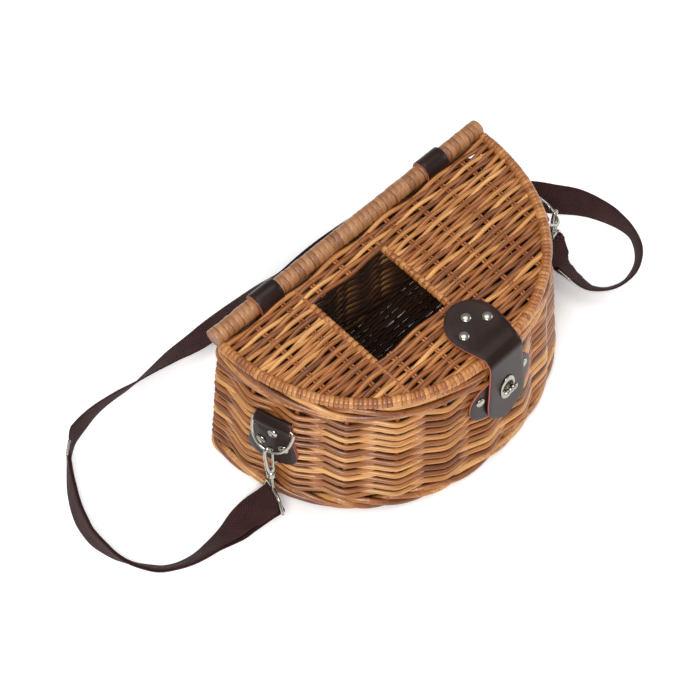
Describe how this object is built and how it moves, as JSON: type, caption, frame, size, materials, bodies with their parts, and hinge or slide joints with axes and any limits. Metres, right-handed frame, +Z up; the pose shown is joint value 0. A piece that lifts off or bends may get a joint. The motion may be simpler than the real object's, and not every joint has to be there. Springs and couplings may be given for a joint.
{
  "type": "wicker fishing creel bag",
  "caption": "D-shaped woven willow creel with a hinged lid with a square hole, a riveted leather flap on a turn lock, and a webbing shoulder strap clipped to D rings.",
  "frame": {"origin": "middle of the basket's underside, on its base plane", "axes": "+X along the flat back towards the right when looking at the round front, +Y towards the flat back, +Z up"},
  "size_m": [0.6941, 0.3441, 0.2022],
  "materials": {
    "willow": "varnished woven willow",
    "rail_wrap": "willow skein wrapping",
    "leather": "smooth dark brown, half matt",
    "webbing": "woven cotton webbing",
    "nickel": "bright nickel plate"
  },
  "bodies": {
    "basket": {"basket_wall": "willow", "basket_floor": "willow", "rim_border": "willow", "foot_border": "willow", "hinge_loop_left": "leather", "hinge_loop_right": "leather", "tab_left": "leather", "tab_right": "leather", "tab_rivet_left_1": "nickel", "tab_rivet_left_2": "nickel", "tab_rivet_left_3": "nickel", "tab_rivet_right_1": "nickel", "tab_rivet_right_2": "nickel", "tab_rivet_right_3": "nickel", "d_ring_left": "nickel", "d_ring_right": "nickel", "snap_hook_left": "nickel", "snap_hook_right": "nickel", "strap_ring_left": "nickel", "strap_ring_right": "nickel", "lock_base": "leather", "lock_rivet_left": "nickel", "lock_rivet_right": "nickel", "lock_post": "nickel", "strap_left": "webbing", "strap_main": "webbing", "strap_right": "webbing", "slider_left": "nickel", "slider_right": "nickel"},
    "lid": {"lid_panel": "willow", "lid_rail": "rail_wrap", "lid_edge": "willow", "closure_flap": "leather", "flap_rivet_1": "nickel", "flap_rivet_2": "nickel", "flap_rivet_3": "nickel", "eyelet_plate": "nickel"},
    "knob": {"lock_knob": "nickel"}
  },
  "joints": [
    {"name": "lid_hinge", "type": "hinge", "parent": "basket", "child": "lid", "pos_m": [0, 0.112, 0.1898], "axis": [-1, 0, 0], "range_deg": [0, 105], "deforming": ["closure_flap", "eyelet_plate"]},
    {"name": "lock_turn", "type": "hinge", "parent": "basket", "child": "knob", "pos_m": [0.00722, -0.10909, 0.13411], "axis": [0.0219, -0.9936, 0.1105], "range_deg": [0, 90]}
  ]
}
